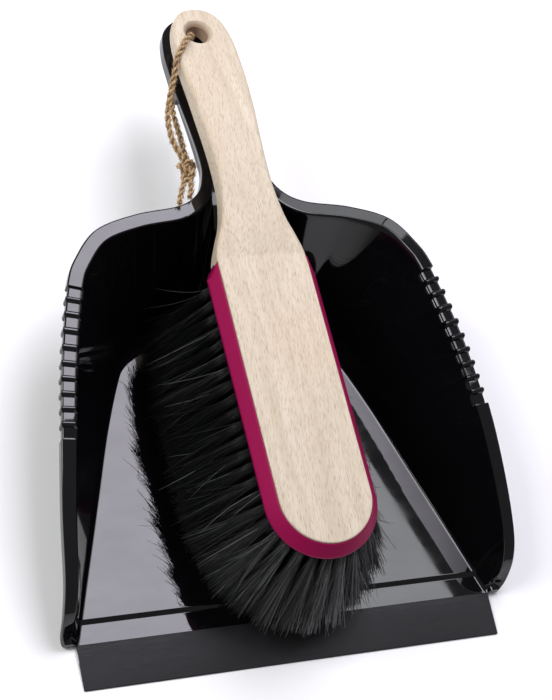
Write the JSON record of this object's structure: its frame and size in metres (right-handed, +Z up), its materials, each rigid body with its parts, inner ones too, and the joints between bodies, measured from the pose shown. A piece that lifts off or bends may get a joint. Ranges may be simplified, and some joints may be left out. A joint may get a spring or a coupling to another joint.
{
  "type": "dust pan and brush set",
  "caption": "Glossy black dust pan with a rubber lip, and a beech hand brush with a magenta bristle block and black bristles lying in it, with a knotted jute hanging loop.",
  "frame": {"origin": "on the surface the pan lies on, under the middle of the set's bounding box (without the twine)", "axes": "+X across the pan to its right seen from the lip, +Y towards the handle, +Z up out of the pan"},
  "size_m": [0.2484, 0.3564, 0.1014],
  "materials": {
    "gloss_black": "high gloss black moulding",
    "rubber_lip": "matte dark grey rubber",
    "beech": "sanded, lightly waxed beech with short dark flecks",
    "magenta": "satin magenta plastic",
    "bristle": "fine black synthetic bristle",
    "steel": "plain wire and screws",
    "jute": "two-ply twisted jute, fuzzy"
  },
  "bodies": {
    "pan": {"pan_shell": "gloss_black", "rubber_lip": "rubber_lip"},
    "brush": {"brush_handle": "beech", "bristle_block": "magenta", "block_screws": "steel", "tufts_outer": "bristle", "tufts_second": "bristle", "tufts_third": "bristle", "tufts_centre": "bristle", "anchors_outer": "steel", "anchors_second": "steel", "anchors_third": "steel", "anchors_centre": "steel", "twine_front": "jute", "twine_back": "jute", "twine_knot": "jute"}
  },
  "joints": [
    {"name": "brush_lift", "type": "slide", "parent": "pan", "child": "brush", "axis": [0, 0, 1], "range_m": [0, 0.15]}
  ]
}
